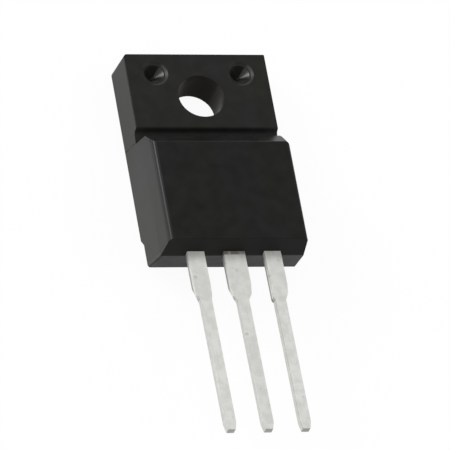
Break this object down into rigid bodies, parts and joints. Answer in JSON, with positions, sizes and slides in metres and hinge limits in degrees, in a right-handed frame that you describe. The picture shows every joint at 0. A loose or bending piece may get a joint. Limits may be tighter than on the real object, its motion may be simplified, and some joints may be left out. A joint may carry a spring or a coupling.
{
  "type": "power transistor",
  "caption": "Fully moulded power transistor: black epoxy block with a drilled mounting tab and flat tinned leads in a row.",
  "frame": {"origin": "axis of the mounting hole at the back face", "axes": "+Z out of the front face, +Y from the leads towards the top of the mounting tab, +X to the right seen from the front with the leads down"},
  "size_m": [0.0102, 0.029, 0.0047],
  "materials": {
    "moulding_epoxy": "matte black moulded epoxy with a fine grain",
    "tinned_copper": "satin tin plating over copper",
    "solder": "dull solder",
    "silicon": "polished, metallised on top",
    "bond_aluminium": "drawn wire"
  },
  "bodies": {
    "root": {"moulded_body": "moulding_epoxy", "header_and_centre_lead": "tinned_copper", "left_lead": "tinned_copper", "right_lead": "tinned_copper", "die_attach_solder": "solder", "silicon_die": "silicon", "gate_bond_wire": "bond_aluminium", "power_bond_wire_1": "bond_aluminium", "power_bond_wire_2": "bond_aluminium"}
  },
  "joints": []
}
